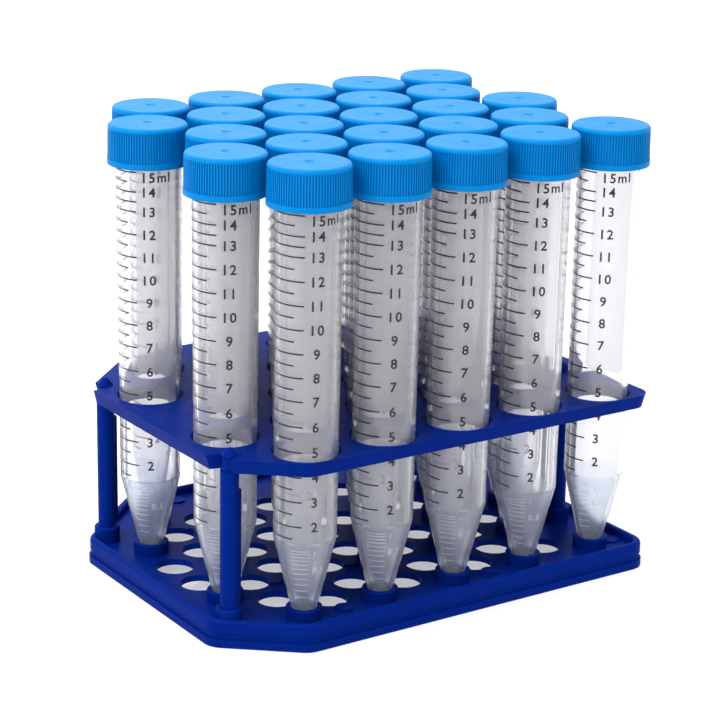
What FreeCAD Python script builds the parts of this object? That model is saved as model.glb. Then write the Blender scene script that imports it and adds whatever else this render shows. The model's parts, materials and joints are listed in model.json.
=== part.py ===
import FreeCAD, Part
import math
import os

# Two-tier rack with 25 capped 15 ml conical tubes, millimetres.
# The underside of the tray is z = 0, the rows of tubes run along X and row a is the -Y side.

V = FreeCAD.Vector
UP = V(0, 0, 1)

# --- rack outline, shared by the tray and the upper plate ---
side_margin = 12.9           # from the outermost tubes' axes to the rack's edge, at both ends
front_margin = 10.9
back_margin = 15.9
front_cut_x = 20.0           # cut corner at -X -Y, along X
front_cut_y = 16.5           # cut corner at -X -Y, along Y
back_cut_x = 24.0            # cut corner at -X +Y, along X
back_cut_y = 22.5            # cut corner at -X +Y, along Y
corner_radius = 6.0

# --- tube pattern: five staggered rows of five ---
row_count = 5
tubes_per_row = 5
cap_gap_in_row = 2.2
cap_gap_between_rows = 1.65
row_shift = 0.25             # stagger of each row to either side, in tube pitches

# --- tray ---
tray_height = 7.3
tray_foot_height = 2.1       # outermost band, with a narrow ledge on top
tray_waist_height = 1.7      # set-back band between the foot and the rim
tray_waist_inset = 0.6
tray_rim_inset = 0.3
tray_floor_top = 5.0
tray_floor_thickness = 1.7
tray_rim_thickness = 2.4
rim_outer_round = 1.0
rim_inner_round = 0.9
socket_wall = 1.1
socket_height = 3.2          # above the floor
socket_clearance = 0.2       # round the cone at the socket's lip
socket_lip_round = 0.4
drain_radius = 5.2
stud_radius = 2.4            # raised discs left by the mould ejectors
stud_height = 0.5
stud_places = [(-1.25, -2.05), (0.75, -2.05), (2.57, -2.0), (-1.5, -0.8), (-0.5, -0.8),
               (-1.5, 1.33), (-1.2, 2.5), (0.8, 2.5), (2.57, 2.0)]
collar_wall = 1.05
collar_height = 4.6          # above the floor
collar_bevel = 0.4
floor_overlap = 1.5          # how deep rings, collars and studs run into the floor

# --- upper plate ---
plate_top = 50.3
plate_thickness = 3.8
plate_inset = 1.2            # top edge, inside the tray outline
plate_draft = 1.0            # further inset at its underside
plate_hole_clearance = 0.35  # round the tube's barrel
plate_hole_bevel = 0.4
pocket_radius = 4.2          # shallow pockets under the plate
pocket_depth = 1.6

# --- posts ---
post_radius = 2.4
post_fit = 0.05
post_neck_radius = 1.9
post_head_overhang = 0.25    # past the neck, all round
post_head_height = 1.9
post_head_tip = 0.55         # radius of the head's flat point
post_head_gap = 0.15         # above the plate
post_rib_width = 1.2
post_rib_proud = 0.75
post_rib_bottom_gap = 0.6
post_rib_top_gap = 5.5
left_post_inset = 6.3        # from the rack's left edge
right_post_inset = 9.0       # from the rack's right edge
front_post_offset = 1.0      # past the end of the left edge's straight part
notch_fit = 0.1
notch_reach = 16.0
left_notch_flare = (3.2, 8.5)
right_notch_flare = (4.6, 4.6)

# --- tube ---
tube_length = 116.75         # tip to rim
tube_wall = 1.2
tube_radius = 8.5            # at the top of the barrel
barrel_taper = 0.38          # less at the foot of the barrel
cone_height = 22.45          # from the tip to the foot of the barrel
cone_slope = 0.241           # radius per millimetre of height
tube_tip_gap = 0.05          # above the tray floor
shoulder_gap = 0.1           # below the cap's edge
shoulder_rise = 0.6
neck_step = 0.45             # the neck's root inside the barrel's radius
neck_wall = 0.85
rim_round = 0.25

# --- screw thread, right hand, single start ---
thread_lead = 3.0
thread_turns = 1.33
male_ridge_height = 0.65
female_ridge_height = 0.7
crest_clearance = 0.3        # between the tube's ridge and the cap's wall
ridge_root_width = 1.3
ridge_crest_width = 0.6
flank_gap = 0.1
thread_to_rim = 0.9          # from the tube's ridge up to its rim
skirt_under_thread = 0.8     # from the cap's edge up to its ridge
ridge_sink = 0.2             # how deep a ridge runs into its wall

# --- cap ---
cap_wall = 1.7
cap_draft = 0.25             # less radius at the shoulder than at the lower band
cap_top_round = 1.0
cap_band_height = 1.45
cap_band_step = 0.12
cap_crown_height = 1.2       # smooth part above the ribs
cap_rib_count = 90
cap_rib_depth = 0.36
cap_rib_foot_share = 0.56    # part of each pitch that is rib at its foot
cap_rib_crest_share = 0.36
cap_roof = 1.6
cap_mouth_bevel = 0.35
gate_radius = 1.5
gate_depth = 0.5
gate_nub_radius = 0.35
gate_nub_height = 0.35

# --- seal disc under the cap roof ---
seal_thickness = 1.0
seal_bevel = 0.15
seal_gap = 0.05              # above and below
seal_side_clearance = 0.35
unscrewing_tubes = ["a1", "a2", "a3", "a4"]

# --- radii that follow from the ones above ---
tube_cone_radius = tube_radius - barrel_taper
neck_root_radius = tube_radius - neck_step
neck_bore_radius = neck_root_radius - neck_wall
male_crest_radius = neck_root_radius + male_ridge_height
cap_inner_radius = male_crest_radius + crest_clearance
female_crest_radius = cap_inner_radius - female_ridge_height
cap_radius = cap_inner_radius + cap_wall
cap_shoulder_radius = cap_radius - cap_draft
seal_radius = cap_inner_radius - seal_side_clearance
post_hole_radius = post_radius + post_fit
notch_radius = post_neck_radius + notch_fit

# --- pitches and the outline's overall sizes ---
tube_pitch = 2 * cap_radius + cap_gap_in_row
row_pitch = math.sqrt((2 * cap_radius + cap_gap_between_rows) ** 2 - (2 * row_shift * tube_pitch) ** 2)
rack_length = (tubes_per_row - 1 + 2 * row_shift) * tube_pitch + 2 * side_margin
rack_depth = (row_count - 1) * row_pitch + front_margin + back_margin
pattern_y = (front_margin - back_margin) / 2

# --- heights ---
tray_floor_bottom = tray_floor_top - tray_floor_thickness
socket_top = tray_floor_top + socket_height
collar_top = tray_floor_top + collar_height
plate_bottom = plate_top - plate_thickness
tube_tip_z = tray_floor_top + tube_tip_gap
tube_cone_z = tube_tip_z + cone_height
tube_rim_z = tube_tip_z + tube_length
seal_top_z = tube_rim_z + seal_gap + seal_thickness
cap_ceiling_z = seal_top_z + seal_gap
cap_top_z = cap_ceiling_z + cap_roof

# Halfway flanks touch when the ridge centres are this far apart along the axis.
male_taper = (ridge_root_width - ridge_crest_width) / male_ridge_height
male_width = ridge_root_width - male_taper * (female_crest_radius - neck_root_radius)
flank_touch = (male_width + ridge_crest_width) / 2
male_start_z = tube_rim_z - thread_to_rim - ridge_root_width / 2 - thread_lead * thread_turns
female_start_z = male_start_z - flank_touch - flank_gap
cap_bottom_z = female_start_z - ridge_root_width / 2 - skirt_under_thread
tube_shoulder_z = cap_bottom_z - shoulder_gap

# --- fits round the tube ---
socket_inner_radius = tube_cone_radius - cone_slope * (tube_cone_z - socket_top) + socket_clearance
plate_share = (plate_top - tube_cone_z) / (tube_shoulder_z - tube_cone_z)
plate_hole_radius = tube_cone_radius + barrel_taper * plate_share + plate_hole_clearance

left_post_x = -rack_length / 2 + left_post_inset
right_post_x = rack_length / 2 - right_post_inset
post_places = {
    "post_left_front": (left_post_x, -rack_depth / 2 + front_cut_y + front_post_offset),
    "post_left_back": (left_post_x, rack_depth / 2 - back_cut_y),
    "post_right_front": (right_post_x, pattern_y - row_pitch),
    "post_right_back": (right_post_x, pattern_y + row_pitch),
}


def cylinder(x, y, z, radius, height):
    """Upright cylinder standing at x, y from z upwards."""
    return Part.makeCylinder(radius, height, V(x, y, z), UP)


def revolve(points):
    """Solid of revolution about the Z axis from (radius, z) points."""
    wire = Part.makePolygon([V(r, 0, z) for r, z in points + points[:1]])
    return Part.Face(wire).revolve(V(0, 0, 0), UP, 360)


def rounded_wire(corners, radius, z):
    """Closed polygon at height z with every corner rounded."""
    arcs = []
    count = len(corners)
    for i in range(count):
        corner = V(corners[i][0], corners[i][1], z)
        before = V(corners[i - 1][0], corners[i - 1][1], z) - corner
        after = V(corners[(i + 1) % count][0], corners[(i + 1) % count][1], z) - corner
        before.normalize()
        after.normalize()
        half = before.getAngle(after) / 2
        start = corner + before * (radius / math.tan(half))
        end = corner + after * (radius / math.tan(half))
        bisector = before + after
        bisector.normalize()
        middle = corner + bisector * (radius / math.sin(half) - radius)
        arcs.append((start, middle, end))
    edges = []
    for i in range(count):
        edges.append(Part.Arc(*arcs[i]).toShape())
        edges.append(Part.makeLine(arcs[i][2], arcs[(i + 1) % count][0]))
    return Part.Wire(edges)


def rack_outline(inset, z):
    """The rack's outline, every side moved in by inset."""
    half_x = rack_length / 2
    half_y = rack_depth / 2
    corners = [
        (-half_x, -half_y + front_cut_y),
        (-half_x + front_cut_x, -half_y),
        (half_x, -half_y),
        (half_x, half_y),
        (-half_x + back_cut_x, half_y),
        (-half_x, half_y - back_cut_y),
    ]
    moved = []
    count = len(corners)
    for i in range(count):
        here = corners[i]
        lines = []
        for a, b in ((corners[i - 1], here), (here, corners[(i + 1) % count])):
            length = math.hypot(b[0] - a[0], b[1] - a[1])
            normal = (-(b[1] - a[1]) / length, (b[0] - a[0]) / length)
            lines.append((normal, normal[0] * a[0] + normal[1] * a[1] + inset))
        (n1, c1), (n2, c2) = lines
        det = n1[0] * n2[1] - n1[1] * n2[0]
        moved.append(((c1 * n2[1] - c2 * n1[1]) / det, (n1[0] * c2 - n2[0] * c1) / det))
    return rounded_wire(moved, corner_radius - inset, z)


def slab(inset, z, height):
    """Upright slab with the rack outline."""
    return Part.Face(rack_outline(inset, z)).extrude(V(0, 0, height))


def edges_at(shape, z):
    """Edges of a shape that lie in the level plane z."""
    found = []
    for edge in shape.Edges:
        box = edge.BoundBox
        if abs(box.ZMin - z) < 1e-4 and abs(box.ZMax - z) < 1e-4:
            found.append(edge)
    return found


def tube_places():
    """Name and centre of each tube, row a at the front."""
    places = {}
    for row in range(row_count):
        shift = row_shift if row % 2 == 0 else -row_shift
        for column in range(tubes_per_row):
            x = (column - (tubes_per_row - 1) / 2 + shift) * tube_pitch
            y = (row - (row_count - 1) / 2) * row_pitch + pattern_y
            places["abcde"[row] + str(column + 1)] = (x, y)
    return places


def gap_places():
    """Centre of every gap between three neighbouring tubes."""
    centres = list(tube_places().values())
    reach = 1.05 * max(tube_pitch, math.hypot(2 * row_shift * tube_pitch, row_pitch))
    found = []
    for i in range(len(centres)):
        for j in range(i + 1, len(centres)):
            for k in range(j + 1, len(centres)):
                three = (centres[i], centres[j], centres[k])
                spans = [math.dist(three[m], three[m - 1]) for m in range(3)]
                if max(spans) < reach:
                    found.append((sum(p[0] for p in three) / 3, sum(p[1] for p in three) / 3))
    for row in (1, 3):
        side = 1 if row == 1 else -1
        x = (-(tubes_per_row - 1) / 2 - row_shift) * tube_pitch
        y = (row - (row_count - 1) / 2 + side * 2 / 3) * row_pitch + pattern_y
        found.append((x, y))
    return found


def make_tray():
    """Shallow tray with a socket ring for each tube, drain holes and post collars."""
    waist_top = tray_foot_height + tray_waist_height
    body = slab(tray_rim_inset, waist_top, tray_height - waist_top)
    body = body.makeFillet(rim_outer_round, edges_at(body, tray_height))
    body = body.fuse([slab(tray_waist_inset, tray_foot_height, tray_waist_height),
                      slab(0, 0, tray_foot_height)])
    cavity = slab(tray_rim_thickness, tray_floor_top, tray_height)
    body = body.cut(cavity).removeSplitter()
    inner_edges = [edge for edge in edges_at(body, tray_height) if is_inner_rim(edge)]
    body = body.makeFillet(rim_inner_round, inner_edges)
    body = body.cut(slab(tray_rim_thickness, 0, tray_floor_bottom))
    added = []
    for x, y in tube_places().values():
        added.append(socket_ring(x, y))
    for across, along in stud_places:
        x = across * tube_pitch
        y = along * row_pitch + pattern_y
        added.append(floor_cylinder(x, y, stud_radius, stud_height))
    for x, y in post_places.values():
        collar = floor_cylinder(x, y, post_hole_radius + collar_wall, collar_height)
        added.append(collar.makeChamfer(collar_bevel, edges_at(collar, collar_top)))
    body = body.fuse(added)
    removed = []
    for x, y in gap_places():
        removed.append(cylinder(x, y, -1, drain_radius, tray_height))
    for x, y in tube_places().values():
        removed.append(cylinder(x, y, tray_floor_top, socket_inner_radius, socket_height + 1))
    for x, y in post_places.values():
        removed.append(cylinder(x, y, tray_floor_top, post_hole_radius, collar_height + 1))
    return body.cut(removed).removeSplitter()


def is_inner_rim(edge):
    """True for a rim edge of the tray's cavity side."""
    middle = edge.valueAt((edge.FirstParameter + edge.LastParameter) / 2)
    outer = Part.Face(rack_outline(tray_rim_thickness - 0.2, tray_height))
    return outer.isInside(middle, 1e-6, True)


def socket_ring(x, y):
    """Low ring that centres one tube's tip."""
    ring = floor_cylinder(x, y, socket_inner_radius + socket_wall, socket_height)
    return ring.makeFillet(socket_lip_round, edges_at(ring, socket_top))


def floor_cylinder(x, y, radius, height):
    """Cylinder that stands height above the tray floor and is rooted in it."""
    return cylinder(x, y, tray_floor_top - floor_overlap, radius, floor_overlap + height)


def post_notch(x, y):
    """Open slot, wider towards the edge, that lets the plate slide onto one post's neck."""
    height = plate_thickness + 2
    outward = -1 if x < 0 else 1
    middleward = 1 if y < pattern_y else -1
    flare = left_notch_flare if x < 0 else right_notch_flare
    points = [(0, notch_radius), (notch_reach, notch_radius + flare[0]),
              (notch_reach, -notch_radius - flare[1]), (0, -notch_radius)]
    wire = Part.makePolygon([V(x + outward * u, y + middleward * v, plate_bottom - 1)
                             for u, v in points + points[:1]])
    slot = Part.Face(wire).extrude(V(0, 0, height))
    return slot.fuse(cylinder(x, y, plate_bottom - 1, notch_radius, height))


def make_plate():
    """Upper plate with tapered sides, a hole for each tube and four post notches."""
    top = rack_outline(plate_inset, plate_top)
    bottom = rack_outline(plate_inset + plate_draft, plate_bottom)
    body = Part.makeLoft([bottom, top], True, True)
    removed = []
    for x, y in tube_places().values():
        removed.append(cylinder(x, y, plate_bottom - 1, plate_hole_radius, plate_thickness + 2))
        bevel_z = plate_top - plate_hole_bevel
        removed.append(Part.makeCone(plate_hole_radius, plate_hole_radius + 2 * plate_hole_bevel,
                                     2 * plate_hole_bevel, V(x, y, bevel_z), UP))
    for x, y in gap_places():
        removed.append(cylinder(x, y, plate_bottom - 1, pocket_radius, pocket_depth + 1))
    for x, y in post_places.values():
        removed.append(post_notch(x, y))
    return body.cut(removed).removeSplitter()


def make_post(x, y):
    """Post with a flat shoulder for the plate, a neck, a pointed head and a stiffening rib."""
    post = cylinder(x, y, tray_floor_top, post_radius, plate_bottom - tray_floor_top)
    neck = cylinder(x, y, plate_bottom, post_neck_radius, plate_thickness + post_head_gap)
    head = Part.makeCone(post_neck_radius + post_head_overhang, post_head_tip, post_head_height,
                         V(x, y, plate_top + post_head_gap), UP)
    inward = 1 if x < 0 else -1
    rib_bottom = collar_top + post_rib_bottom_gap
    rib_height = plate_bottom - post_rib_top_gap - rib_bottom
    rib_length = post_radius + post_rib_proud
    corner_x = x if inward > 0 else x - rib_length
    rib = Part.makeBox(rib_length, post_rib_width, rib_height,
                       V(corner_x, y - post_rib_width / 2, rib_bottom))
    return post.fuse([neck, head, rib]).removeSplitter()


def ridge(root_radius, crest_radius, start_z):
    """Helical ridge from root_radius to crest_radius, centred on start_z at its first end."""
    height = thread_lead * thread_turns
    helix = Part.makeHelix(thread_lead, height, crest_radius)
    helix.translate(V(0, 0, start_z))
    half_root = ridge_root_width / 2
    half_crest = ridge_crest_width / 2
    outward = 1 if root_radius > crest_radius else -1
    sunk = root_radius + outward * ridge_sink
    grow = (half_root - half_crest) / abs(root_radius - crest_radius) * ridge_sink
    points = [V(crest_radius, 0, start_z - half_crest), V(crest_radius, 0, start_z + half_crest),
              V(sunk, 0, start_z + half_root + grow), V(sunk, 0, start_z - half_root - grow)]
    profile = Part.makePolygon(points + points[:1])
    return Part.Wire(helix.Edges).makePipeShell([profile], True, True)


def tip_sphere_radius():
    """Radius of the round tip that runs smoothly into the cone."""
    cosine = math.cos(math.atan(cone_slope))
    offset = tube_cone_radius - cone_slope * cone_height
    return offset * cosine / (1 - cone_slope * cosine)


def tube_profile(wall):
    """Half section of the tube surface moved in by wall, from the axis up to the barrel."""
    angle = math.atan(cone_slope)
    tip = tip_sphere_radius()
    centre_z = tube_tip_z + tip
    radius = tip - wall
    start = V(0, 0, centre_z - radius)
    bend = -math.pi / 4 - angle / 2
    middle = V(radius * math.cos(bend), 0, centre_z + radius * math.sin(bend))
    tangent = V(radius * math.cos(angle), 0, centre_z - radius * math.sin(angle))
    cone_top = V(tube_cone_radius - wall, 0, tube_cone_z + wall * math.tan(angle / 2))
    return [Part.Arc(start, middle, tangent).toShape(), Part.makeLine(tangent, cone_top)], cone_top


def make_tube():
    """Conical tube with a threaded neck, its tip standing on the tray floor."""
    outer, outer_end = tube_profile(0)
    inner, inner_end = tube_profile(tube_wall)
    neck_z = tube_shoulder_z + shoulder_rise
    bore_top = tube_rim_z - rim_round
    rest = [outer_end,
            V(tube_radius, 0, tube_shoulder_z),
            V(neck_root_radius, 0, neck_z),
            V(neck_root_radius, 0, bore_top),
            V(neck_root_radius - rim_round, 0, tube_rim_z),
            V(neck_bore_radius + rim_round, 0, tube_rim_z),
            V(neck_bore_radius, 0, bore_top),
            V(neck_bore_radius, 0, tube_shoulder_z),
            inner_end]
    edges = outer + [Part.makeLine(a, b) for a, b in zip(rest, rest[1:])] + inner
    edges.append(Part.makeLine(V(0, 0, tube_tip_z), V(0, 0, tube_tip_z + tube_wall)))
    wire = Part.Wire(Part.__sortEdges__(edges))
    body = Part.Face(wire).revolve(V(0, 0, 0), UP, 360)
    return body.fuse(ridge(neck_root_radius, male_crest_radius, male_start_z))


def cap_rib_ring():
    """Ring of fine upright ribs, before its outside is shaped."""
    pitch = 2 * math.pi / cap_rib_count
    foot_radius = cap_shoulder_radius - cap_rib_depth
    points = []
    crest_radius = cap_radius + cap_rib_depth
    corners = ((foot_radius, -cap_rib_foot_share), (crest_radius, -cap_rib_crest_share),
               (crest_radius, cap_rib_crest_share), (foot_radius, cap_rib_foot_share))
    for i in range(cap_rib_count):
        for radius, share in corners:
            angle = (i + share / 2) * pitch
            points.append(V(radius * math.cos(angle), radius * math.sin(angle), cap_bottom_z))
    wire = Part.makePolygon(points + points[:1])
    return Part.Face(wire).extrude(V(0, 0, cap_top_z - cap_bottom_z))


def make_cap():
    """Screw cap with a smooth lower band, fine ribs and a gate dimple on top."""
    low = cap_bottom_z
    band = low + cap_band_height
    rib_top = cap_top_z - cap_crown_height
    foot_low = cap_radius - cap_band_step - cap_rib_depth
    foot_high = cap_shoulder_radius - cap_rib_depth
    core = revolve([(0, low), (cap_radius, low), (cap_radius, band),
                    (foot_low, band + cap_band_step), (foot_high, rib_top),
                    (foot_high, cap_top_z - cap_top_round), (0, cap_top_z - cap_top_round)])
    envelope = revolve([(0, band), (cap_radius - cap_band_step, band),
                        (cap_shoulder_radius, rib_top), (0, rib_top)])
    crown = revolve([(0, rib_top), (cap_shoulder_radius, rib_top),
                     (cap_shoulder_radius, cap_top_z), (0, cap_top_z)])
    crown = crown.makeFillet(cap_top_round, edges_at(crown, cap_top_z))
    ribs = cap_rib_ring().common(envelope)
    body = core.fuse([ribs, crown])
    gate_floor = cap_top_z - gate_depth
    dimple = Part.makeCone(gate_nub_radius, gate_radius, gate_depth, V(0, 0, gate_floor), UP)
    nub = cylinder(0, 0, cap_ceiling_z, gate_nub_radius, gate_floor + gate_nub_height - cap_ceiling_z)
    body = body.cut(dimple).fuse(nub)
    hollow = revolve([(0, low - 1), (cap_inner_radius + cap_mouth_bevel + 1, low - 1),
                      (cap_inner_radius, low + cap_mouth_bevel),
                      (cap_inner_radius, cap_ceiling_z), (0, cap_ceiling_z)])
    body = body.cut(hollow).removeSplitter()
    return body.fuse(ridge(cap_inner_radius, female_crest_radius, female_start_z))


def make_seal():
    """Flat sealing disc between the tube rim and the cap roof."""
    disc = cylinder(0, 0, seal_top_z - seal_thickness, seal_radius, seal_thickness)
    return disc.makeChamfer(seal_bevel, edges_at(disc, seal_top_z))


def placed(shape, place):
    """Copy of a shape moved from the Z axis to a tube's place."""
    moved = shape.copy()
    moved.translate(V(place[0], place[1], 0))
    return moved


def export(shape, name):
    shape.exportStep("parts/" + name + ".step")


def build():
    os.makedirs("parts", exist_ok=True)
    export(make_tray(), "base_tray")
    export(make_plate(), "upper_plate")
    for name, (x, y) in post_places.items():
        export(make_post(x, y), name)
    tube = make_tube()
    cap = make_cap()
    seal = make_seal()
    for name, place in tube_places().items():
        export(placed(tube, place), "tube_" + name)
        if name in unscrewing_tubes:
            export(placed(cap, place), "cap_" + name)
            export(placed(seal, place), "seal_" + name)
        else:
            export(placed(Part.makeCompound([cap, seal]), place), "cap_" + name)


build()
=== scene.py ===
import json
import math
import random

import bmesh
import bpy
from mathutils import Matrix, Vector


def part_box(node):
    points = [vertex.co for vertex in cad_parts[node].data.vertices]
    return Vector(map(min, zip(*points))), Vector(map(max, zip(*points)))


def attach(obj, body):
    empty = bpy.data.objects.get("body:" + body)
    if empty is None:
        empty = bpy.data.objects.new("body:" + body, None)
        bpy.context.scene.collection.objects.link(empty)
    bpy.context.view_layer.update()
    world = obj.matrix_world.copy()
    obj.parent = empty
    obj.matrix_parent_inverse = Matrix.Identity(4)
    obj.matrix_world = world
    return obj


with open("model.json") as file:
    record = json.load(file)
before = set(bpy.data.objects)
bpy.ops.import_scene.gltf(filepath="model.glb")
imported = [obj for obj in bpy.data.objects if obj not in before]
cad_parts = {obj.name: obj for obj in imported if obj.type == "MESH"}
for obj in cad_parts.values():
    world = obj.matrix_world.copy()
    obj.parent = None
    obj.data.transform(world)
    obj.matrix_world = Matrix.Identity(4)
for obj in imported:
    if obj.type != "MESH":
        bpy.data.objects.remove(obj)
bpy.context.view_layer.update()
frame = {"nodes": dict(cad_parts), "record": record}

MM = 0.001
random.seed(15)

# --- outside of a tube, the same as the CAD tubes' ---
barrel_top_z = 113.79 * MM
barrel_top_radius = 8.5 * MM
barrel_foot_z = 27.5 * MM
barrel_foot_radius = 8.12 * MM
cone_slope = 0.241            # radius per height

# Places round a tube are in degrees from the end of its long printed marks. A lift is how far a piece's
# inner and outer faces are from the tube's outside.

# --- printed scale ---
mark_start = -103.0
long_mark_end = 0.0
short_mark_end = -17.5
mark_width = 0.38 * MM
dash_start = 84.0             # small marks on the far right of the scale
dash_end = 91.0
dash_width = 0.25 * MM
number_start = 12.8
one_digit_indent = 4.0
number_height = 2.62 * MM
number_spacing = 1.2
number_weight = 0.018         # how much the font's outlines grow
top_number_drop = 1.35 * MM   # keeps the top number clear of the cap
print_lift = (0.008 * MM, 0.04 * MM)

# --- heights of the scale's marks, in three even stretches ---
lowest_ml = 1.5
lower_bend_ml = 7.0
upper_bend_ml = 13.0
highest_ml = 15.0
extra_long_ml = 13.5          # a half mark that is as long as a whole one
upper_bend_z = 102.5 * MM
top_step = 5.2 * MM           # per millilitre
middle_step = 6.133 * MM
bottom_step = 6.62 * MM

# --- frosted writing panel on the far side of the scale ---
panel_start = 137.0
panel_end = 229.0
panel_low_z = 54.0 * MM
panel_high_z = 112.0 * MM
panel_corner = 2.5 * MM
panel_lift = (0.006 * MM, 0.03 * MM)

# --- moulded marks on the cone ---
cone_mark_count = 11
cone_mark_low_z = 12.2 * MM
cone_mark_high_z = 26.0 * MM
cone_mark_closing = 0.45      # how much closer together they get upwards
cone_mark_middle = -3.2
cone_mark_arc = 38.0
cone_mark_width = 0.24 * MM
cone_mark_lift = (-0.05 * MM, 0.13 * MM)
cone_number_gap = 8.0
cone_number_height = 1.9 * MM
cone_number_spacing = 1.1
cone_numbers = {"1": 25.0 * MM, "0.5": 20.3 * MM}

# --- fineness of pieces that bend round a tube ---
bar_step = 4.0                # degrees
letter_step = 3.0
corner_points = 4             # in each rounded corner

# --- which way each tube's long marks end, in degrees round +Z from +X ---
usual_turn = -138.0
turn_spread = 9.0
known_turns = {"a1": -128.9, "a2": -132.0, "a3": -140.0, "a4": -143.0, "a5": -151.0,
               "b1": -136.5, "d1": -141.0}

# --- colours of plastics and inks, where there are two the darkest and the lightest ---
rack_blue = ((0.0003, 0.013, 0.17), (0.0006, 0.0175, 0.205))
cap_blue = ((0.0, 0.19, 0.53), (0.0005, 0.205, 0.57))
barrel_clear = ((0.968, 0.964, 0.984), (0.982, 0.978, 0.994))
# frosted white for the cone, tinted with a painted blue that stands in for the blue rack seen through
# it
cone_frost_with_painted_blue = (0.87, 0.90, 0.975)
seal_white = ((0.74, 0.76, 0.77), (0.84, 0.86, 0.87))
panel_white = (0.97, 0.97, 0.98)
raised_white = (0.93, 0.95, 0.98)
ink_black = ((0.004, 0.004, 0.005), (0.014, 0.014, 0.016))
ink_blue = ((0.16, 0.20, 0.36), (0.22, 0.27, 0.44))

# --- studio and camera ---
floor_size = 4.0              # half its side
floor_drop = 0.1 * MM
studio_bright_side = (0.3, 0.65, 0.7)
studio_dim = 0.22
studio_bright = 1.1
light_aim = (0, 0, 0.06)
camera_azimuth = math.radians(-34.19)
camera_elevation = math.radians(17.42)
camera_roll = 0.0202
camera_target = Vector((6.4, 4.8, 53.8)) * MM
camera_distance = 643.0 * MM
camera_lens = 115.7


# ---------------------------------------------------------------- materials

def new_material(name):
    """Material with its node tree and its shader."""
    material = bpy.data.materials.new(name)
    material.use_nodes = True
    tree = material.node_tree
    return material, tree, tree.nodes["Principled BSDF"]


def noise(tree, scale, detail=3.0):
    """Noise in the piece's own coordinates. Scale is in features per metre."""
    coordinates = tree.nodes.new("ShaderNodeTexCoord")
    texture = tree.nodes.new("ShaderNodeTexNoise")
    texture.inputs["Scale"].default_value = scale
    texture.inputs["Detail"].default_value = detail
    tree.links.new(coordinates.outputs["Object"], texture.inputs["Vector"])
    return texture.outputs["Fac"]


def spread(tree, value, low, high):
    """Stretches the middle of a noise so that it runs from low to high."""
    node = tree.nodes.new("ShaderNodeMapRange")
    node.inputs["From Min"].default_value = 0.3
    node.inputs["From Max"].default_value = 0.7
    node.inputs["To Min"].default_value = low
    node.inputs["To Max"].default_value = high
    tree.links.new(value, node.inputs["Value"])
    return node.outputs["Result"]


def blend(tree, kind, value, first, second):
    """Goes from first to second as value goes from 0 to 1. Either is a constant or a node's output."""
    node = tree.nodes.new("ShaderNodeMix")
    node.data_type = kind
    tree.links.new(value, node.inputs["Factor"])
    for name, source in (("A", first), ("B", second)):
        if isinstance(source, bpy.types.NodeSocket):
            tree.links.new(source, node.inputs[name])
        else:
            node.inputs[name].default_value = source
    return node.outputs["Result"]


def mix_colours(tree, value, first, second):
    colours = [(*colour, 1) if isinstance(colour, tuple) else colour for colour in (first, second)]
    return blend(tree, "RGBA", value, *colours)


def bump(tree, shader, value, strength, distance):
    """Makes the surface uneven by a noise."""
    node = tree.nodes.new("ShaderNodeBump")
    node.inputs["Strength"].default_value = strength
    node.inputs["Distance"].default_value = distance
    tree.links.new(value, node.inputs["Height"])
    tree.links.new(node.outputs["Normal"], shader.inputs["Normal"])


def moulded_plastic(name, colours, gloss, grain, grain_strength):
    """Opaque moulded plastic: cloudy colour, uneven sheen and a fine mould grain."""
    material, tree, shader = new_material(name)
    clouds = noise(tree, 45.0, 4.0)
    tree.links.new(mix_colours(tree, clouds, *colours), shader.inputs["Base Color"])
    sheen = noise(tree, 160.0, 5.0)
    tree.links.new(spread(tree, sheen, 0.30, 0.42), shader.inputs["Roughness"])
    shader.inputs["Specular IOR Level"].default_value = gloss
    bump(tree, shader, noise(tree, grain, 2.0), grain_strength, 0.05 * MM)
    return material


def height_mask(tree, low, high):
    """0 above high and 1 below low, by height in the part."""
    coordinates = tree.nodes.new("ShaderNodeTexCoord")
    split = tree.nodes.new("ShaderNodeSeparateXYZ")
    node = tree.nodes.new("ShaderNodeMapRange")
    node.inputs["From Min"].default_value = low
    node.inputs["From Max"].default_value = high
    node.inputs["To Min"].default_value = 1.0
    node.inputs["To Max"].default_value = 0.0
    tree.links.new(coordinates.outputs["Object"], split.inputs["Vector"])
    tree.links.new(split.outputs["Z"], node.inputs["Value"])
    return node.outputs["Result"]


def clear_plastic():
    """Clear polypropylene with a faint milky haze, rippled by the mould and frosted on the cone. The
    cone's colour also carries a painted blue that stands in for the blue rack seen through it.
    """
    material, tree, shader = new_material("tube_clear")
    clouds = noise(tree, 60.0, 3.0)
    barrel = mix_colours(tree, clouds, *barrel_clear)
    cone = height_mask(tree, barrel_foot_z - 0.2 * MM, barrel_foot_z + 0.3 * MM)
    # on the cone the colour turns to the frosted white with painted blue, which stands in for the rack
    # seen through it
    colour = mix_colours(tree, cone, barrel, cone_frost_with_painted_blue)
    tree.links.new(colour, shader.inputs["Base Color"])
    smooth = spread(tree, noise(tree, 240.0), 0.03, 0.08)
    tree.links.new(blend(tree, "FLOAT", cone, smooth, 0.2), shader.inputs["Roughness"])
    shader.inputs["Transmission Weight"].default_value = 0.9
    shader.inputs["IOR"].default_value = 1.38
    bump(tree, shader, noise(tree, 110.0, 2.0), 0.2, 0.03 * MM)
    return material


def frosted_plastic(name, colour, transmission, roughness, alpha):
    """Thin frosted layer that lets light through."""
    material, tree, shader = new_material(name)
    clouds = noise(tree, 300.0, 3.0)
    whiter = tuple(min(1.0, c * 1.03) for c in colour)
    tree.links.new(mix_colours(tree, clouds, colour, whiter), shader.inputs["Base Color"])
    tree.links.new(spread(tree, clouds, roughness, roughness + 0.1), shader.inputs["Roughness"])
    shader.inputs["Transmission Weight"].default_value = transmission
    shader.inputs["IOR"].default_value = 1.2
    shader.inputs["Alpha"].default_value = alpha
    bump(tree, shader, noise(tree, 4000.0, 1.0), 0.3, 0.01 * MM)
    return material


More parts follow.
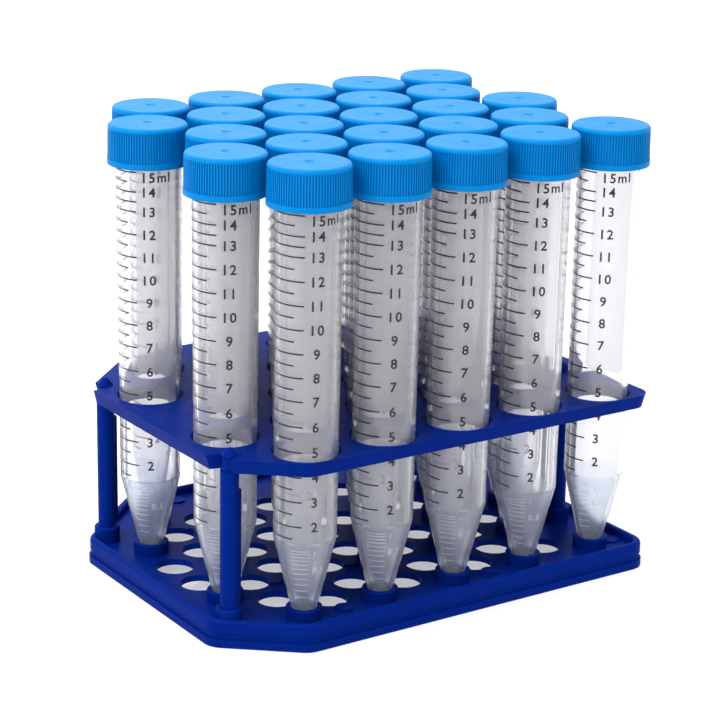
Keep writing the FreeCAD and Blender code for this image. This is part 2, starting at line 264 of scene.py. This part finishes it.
def printing_ink(name, colours):
    """Matte ink, a little thin in places."""
    material, tree, shader = new_material(name)
    cover = noise(tree, 2600.0, 3.0)
    tree.links.new(mix_colours(tree, cover, *colours), shader.inputs["Base Color"])
    tree.links.new(spread(tree, cover, 0.45, 0.6), shader.inputs["Roughness"])
    return material


def soft_silicone():
    """Dull whitish silicone with a soft grain."""
    material, tree, shader = new_material("seal_silicone")
    clouds = noise(tree, 400.0, 3.0)
    tree.links.new(mix_colours(tree, clouds, *seal_white), shader.inputs["Base Color"])
    tree.links.new(spread(tree, clouds, 0.5, 0.7), shader.inputs["Roughness"])
    bump(tree, shader, noise(tree, 5000.0, 1.0), 0.2, 0.02 * MM)
    return material


def paint_nodes():
    """Gives every CAD node its material."""
    by_slot = {
        "rack_plastic": moulded_plastic("rack_blue", rack_blue, 0.015, 2600.0, 0.18),
        "tube_plastic": clear_plastic(),
        "cap_plastic": moulded_plastic("cap_blue", cap_blue, 0.045, 3200.0, 0.10),
        "seal_silicone": soft_silicone(),
    }
    for part in frame["record"]["subparts"]:
        node = frame["nodes"][part["node"]]
        material = by_slot[part["material_slot"]]
        if not node.material_slots:
            node.data.materials.append(material)
        for material_slot in node.material_slots:
            material_slot.material = material


# ------------------------------------------------- flat shapes laid on a tube

def tube_radius(z):
    """Radius of the tube's outside at height z."""
    if z < barrel_foot_z:
        return barrel_foot_radius - cone_slope * (barrel_foot_z - z)
    share = (z - barrel_foot_z) / (barrel_top_z - barrel_foot_z)
    return barrel_foot_radius + share * (barrel_top_radius - barrel_foot_radius)


def lay_on_tube(mesh):
    """Bends vertices given as (degrees round the tube, lift, height) onto its outside."""
    for vertex in mesh.verts:
        degrees, lift, z = vertex.co
        angle = math.radians(degrees)
        radius = tube_radius(z) + lift
        vertex.co = (radius * math.cos(angle), radius * math.sin(angle), z)


def bar_columns(start, end, arc):
    """Places across a bar, with more of them in its rounded corners. All are in degrees, arc too."""
    steps = max(2, math.ceil((end - start) / bar_step))
    columns = [start + (end - start) * i / steps for i in range(steps + 1)]
    if arc:
        quarter = math.pi / 2
        near = [arc * (1 - math.cos(quarter * (k + 1) / corner_points)) for k in range(corner_points)]
        columns += [start + n for n in near] + [end - n for n in near]
    return sorted(columns)


def add_bar(mesh, start, end, low, high, lift, corner=0.0):
    """Closed flat bar from start to end degrees and from low to high, its corners rounded."""
    arc = math.degrees(corner / barrel_foot_radius)
    rings = []
    for degrees in bar_columns(start, end, arc):
        inset = 0.0
        edge = min(degrees - start, end - degrees)
        if edge < arc:
            inset = corner * (1 - math.sqrt(max(0.0, 1 - (1 - edge / arc) ** 2)))
        rings.append([mesh.verts.new((degrees, lift[side], z)) for side, z in
                      ((0, low + inset), (0, high - inset), (1, high - inset), (1, low + inset))])
    for first, second in zip(rings, rings[1:]):
        for i in range(4):
            mesh.faces.new((first[i], first[(i + 1) % 4], second[(i + 1) % 4], second[i]))
    mesh.faces.new(rings[0])
    mesh.faces.new(reversed(rings[-1]))


def text_mesh(text, spacing):
    """Flat mesh of a text, in x and y, in the font's own units."""
    curve = bpy.data.curves.new("scale_text", "FONT")
    curve.body = text
    curve.space_character = spacing
    curve.resolution_u = 3
    curve.offset = number_weight
    maker = bpy.data.objects.new("scale_text", curve)
    bpy.context.scene.collection.objects.link(maker)
    bpy.context.view_layer.update()
    flat = bpy.data.meshes.new_from_object(maker.evaluated_get(bpy.context.evaluated_depsgraph_get()))
    bpy.data.objects.remove(maker)
    bpy.data.curves.remove(curve)
    return flat


def digit_size():
    """Height of a digit and its lowest point in the font's own units."""
    flat = text_mesh("8", 1.0)
    heights = [vertex.co.y for vertex in flat.vertices]
    bpy.data.meshes.remove(flat)
    return max(heights) - min(heights), min(heights)


def flat_letters(text, start, middle_z, height, spacing):
    """Text as (degrees, 0, height) faces, its left edge at start and its middle at middle_z."""
    font_height, font_low = digit_size()
    flat = text_mesh(text, spacing)
    letters = bmesh.new()
    letters.from_mesh(flat)
    bpy.data.meshes.remove(flat)
    scale = height / font_height
    left = min(vertex.co.x for vertex in letters.verts)
    per_degree = math.radians(1.0) * tube_radius(middle_z)
    for vertex in letters.verts:
        x, y = vertex.co.x, vertex.co.y
        vertex.co = (start + (x - left) * scale / per_degree, 0.0,
                     middle_z + (y - font_low - font_height / 2) * scale)
    return letters


def cut_in_strips(letters, start):
    """Cuts the text across every few degrees, so that it can bend."""
    end = max(vertex.co.x for vertex in letters.verts)
    cut = start + letter_step
    while cut < end:
        geometry = letters.verts[:] + letters.edges[:] + letters.faces[:]
        bmesh.ops.bisect_plane(letters, geom=geometry, dist=1e-9, plane_co=(cut, 0, 0),
                               plane_no=(1, 0, 0))
        cut += letter_step


def add_text(mesh, text, start, middle_z, height, lift, spacing):
    """Adds a text to the mesh as a thin closed solid."""
    letters = flat_letters(text, start, middle_z, height, spacing)
    cut_in_strips(letters, start)
    for vertex in letters.verts:
        vertex.co.y = lift[0]
    raised = bmesh.ops.extrude_face_region(letters, geom=letters.faces[:], use_keep_orig=True)
    for item in raised["geom"]:
        if isinstance(item, bmesh.types.BMVert):
            item.co.y = lift[1]
    holder = bpy.data.meshes.new("letters")
    letters.to_mesh(holder)
    letters.free()
    mesh.from_mesh(holder)
    bpy.data.meshes.remove(holder)


def finished_mesh(mesh, name, material):
    """Turns flat shapes into a mesh on the tube's outside."""
    lay_on_tube(mesh)
    bmesh.ops.recalc_face_normals(mesh, faces=mesh.faces[:])
    data = bpy.data.meshes.new(name)
    mesh.to_mesh(data)
    mesh.free()
    data.materials.append(material)
    return data


# ------------------------------------------------------- scale, panel, marks

def mark_height(millilitres):
    """Height of a mark of the printed scale."""
    if millilitres > upper_bend_ml:
        return upper_bend_z + (millilitres - upper_bend_ml) * top_step
    if millilitres > lower_bend_ml:
        return upper_bend_z - (upper_bend_ml - millilitres) * middle_step
    lower_bend_z = upper_bend_z - (upper_bend_ml - lower_bend_ml) * middle_step
    return lower_bend_z - (lower_bend_ml - millilitres) * bottom_step


def scale_steps():
    """Every half millilitre of the scale."""
    return [lowest_ml + i / 2 for i in range(round((highest_ml - lowest_ml) * 2) + 1)]


def add_number(mesh, millilitres):
    """Number beside a whole mark. The top one has the unit and sits lower."""
    label = str(int(millilitres))
    z = mark_height(millilitres)
    start = number_start
    if millilitres == highest_ml:
        label += "ml"
        z -= top_number_drop
    if len(label) == 1:
        start += one_digit_indent
    add_text(mesh, label, start, z, number_height, print_lift, number_spacing)


def scale_mesh(material):
    """Printed marks every half millilitre, with a number at each whole one."""
    mesh = bmesh.new()
    for millilitres in scale_steps():
        z = mark_height(millilitres)
        whole = millilitres == int(millilitres)
        end = long_mark_end if whole or millilitres == extra_long_ml else short_mark_end
        add_bar(mesh, mark_start, end, z - mark_width / 2, z + mark_width / 2, print_lift)
        if whole:
            add_number(mesh, millilitres)
    return finished_mesh(mesh, "printed_scale", material)


def dash_mesh(material):
    """Small marks every half millilitre on the far right of the scale."""
    mesh = bmesh.new()
    for millilitres in scale_steps():
        z = mark_height(millilitres)
        add_bar(mesh, dash_start, dash_end, z - dash_width / 2, z + dash_width / 2, print_lift)
    return finished_mesh(mesh, "side_dashes", material)


def panel_mesh(material):
    """Frosted panel to write on."""
    mesh = bmesh.new()
    add_bar(mesh, panel_start, panel_end, panel_low_z, panel_high_z, panel_lift, panel_corner)
    return finished_mesh(mesh, "writing_panel", material)


def cone_marks_mesh(material):
    """Raised marks on the cone, closer together upwards, with its two numbers."""
    mesh = bmesh.new()
    start = cone_mark_middle - cone_mark_arc / 2
    end = cone_mark_middle + cone_mark_arc / 2
    for i in range(cone_mark_count):
        share = i / (cone_mark_count - 1)
        rise = share + cone_mark_closing * (share - share ** 2)
        z = cone_mark_low_z + (cone_mark_high_z - cone_mark_low_z) * rise
        add_bar(mesh, start, end, z - cone_mark_width / 2, z + cone_mark_width / 2, cone_mark_lift)
    for label, z in cone_numbers.items():
        add_text(mesh, label, end + cone_number_gap, z, cone_number_height, cone_mark_lift,
                 cone_number_spacing)
    return finished_mesh(mesh, "cone_marks", material)


def dress_tubes():
    """Puts the scale, its dashes, the writing panel and the cone's marks on every tube."""
    data = {
        "scale": scale_mesh(printing_ink("ink_black", ink_black)),
        "dashes": dash_mesh(printing_ink("ink_blue", ink_blue)),
        "panel": panel_mesh(frosted_plastic("panel_white", panel_white, 0.5, 0.55, 0.3)),
        "marks": cone_marks_mesh(frosted_plastic("moulded_marks", raised_white, 0.6, 0.3, 0.4)),
    }
    for name in sorted(frame["nodes"]):
        if not name.startswith("tube_"):
            continue
        place = name.removeprefix("tube_")
        low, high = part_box(name)
        centre = (low + high) / 2
        turn = known_turns.get(place, usual_turn + random.uniform(-turn_spread, turn_spread))
        for kind in data:
            piece = bpy.data.objects.new(kind + "_" + place, data[kind])
            bpy.context.scene.collection.objects.link(piece)
            piece.location = (centre.x, centre.y, 0.0)
            piece.rotation_euler = (0.0, 0.0, math.radians(turn))
            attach(piece, name)


# ------------------------------------------------------------- floor, lights

def add_floor():
    """Plain pale floor, bright enough to show white through the rack's holes."""
    mesh = bmesh.new()
    bmesh.ops.create_grid(mesh, x_segments=1, y_segments=1, size=floor_size)
    data = bpy.data.meshes.new("floor")
    mesh.to_mesh(data)
    mesh.free()
    material, tree, shader = new_material("floor_pale")
    shader.inputs["Base Color"].default_value = (0.5, 0.5, 0.5, 1)
    shader.inputs["Roughness"].default_value = 0.9
    shader.inputs["Specular IOR Level"].default_value = 0.0
    shader.inputs["Emission Color"].default_value = (1, 1, 1, 1)
    shader.inputs["Emission Strength"].default_value = 0.47
    data.materials.append(material)
    floor = bpy.data.objects.new("floor", data)
    bpy.context.scene.collection.objects.link(floor)
    floor.location.z = -floor_drop


def add_area_light(name, location, size, power):
    """Soft light that points at the part."""
    data = bpy.data.lights.new(name, "AREA")
    data.shape = "RECTANGLE"
    data.size, data.size_y = size
    data.energy = power
    light = bpy.data.objects.new(name, data)
    bpy.context.scene.collection.objects.link(light)
    light.location = location
    light.rotation_mode = "QUATERNION"
    light.rotation_quaternion = (Vector(light_aim) - Vector(location)).to_track_quat("-Z", "Y")


def add_world():
    """White studio, bright behind and above the part and dim in front of it."""
    world = bpy.data.worlds.new("studio")
    world.use_nodes = True
    tree = world.node_tree
    background = tree.nodes["Background"]
    background.inputs["Color"].default_value = (1.0, 1.0, 1.0, 1)
    coordinates = tree.nodes.new("ShaderNodeTexCoord")
    along = tree.nodes.new("ShaderNodeVectorMath")
    along.operation = "DOT_PRODUCT"
    along.inputs[1].default_value = studio_bright_side
    strength = tree.nodes.new("ShaderNodeMapRange")
    strength.inputs["From Min"].default_value = -0.5
    strength.inputs["From Max"].default_value = 0.6
    strength.inputs["To Min"].default_value = studio_dim
    strength.inputs["To Max"].default_value = studio_bright
    tree.links.new(coordinates.outputs["Generated"], along.inputs[0])
    tree.links.new(along.outputs["Value"], strength.inputs["Value"])
    tree.links.new(strength.outputs["Result"], background.inputs["Strength"])
    bpy.context.scene.world = world


def add_lights():
    """Four large soft lights, the strongest from the left and from above."""
    add_area_light("key", (-1.3, -0.6, 1.1), (0.9, 0.9), 17.0)
    add_area_light("fill", (0.9, -1.3, 0.6), (0.8, 1.2), 3.0)
    add_area_light("top", (-0.2, 0.1, 1.5), (1.0, 1.0), 16.0)
    add_area_light("back", (0.3, 1.3, 1.1), (1.2, 0.8), 8.0)


def add_camera():
    """Camera that looks at the target from its azimuth and elevation, a little rolled."""
    level = math.cos(camera_elevation)
    forward = Vector((-math.sin(camera_azimuth) * level, math.cos(camera_azimuth) * level,
                      -math.sin(camera_elevation)))
    flat_right = forward.cross(Vector((0, 0, 1))).normalized()
    flat_up = flat_right.cross(forward)
    right = flat_right * math.cos(camera_roll) + flat_up * math.sin(camera_roll)
    up = flat_up * math.cos(camera_roll) - flat_right * math.sin(camera_roll)
    place = camera_target - forward * camera_distance
    data = bpy.data.cameras.new("camera")
    data.sensor_width = 36.0
    data.lens = camera_lens
    data.clip_start = 0.01
    data.clip_end = 20.0
    camera = bpy.data.objects.new("camera", data)
    bpy.context.scene.collection.objects.link(camera)
    camera.matrix_world = Matrix((
        (right.x, up.x, -forward.x, place.x),
        (right.y, up.y, -forward.y, place.y),
        (right.z, up.z, -forward.z, place.z),
        (0, 0, 0, 1)))
    bpy.context.scene.camera = camera


def set_light_paths():
    """Enough bounces to see through several clear tubes in a row."""
    cycles = bpy.context.scene.cycles
    cycles.max_bounces = 32
    cycles.transmission_bounces = 32
    cycles.transparent_max_bounces = 48
    cycles.diffuse_bounces = 4
    cycles.glossy_bounces = 6
    bpy.context.scene.view_settings.view_transform = "Standard"


paint_nodes()
dress_tubes()
add_floor()
add_world()
add_lights()
add_camera()
set_light_paths()
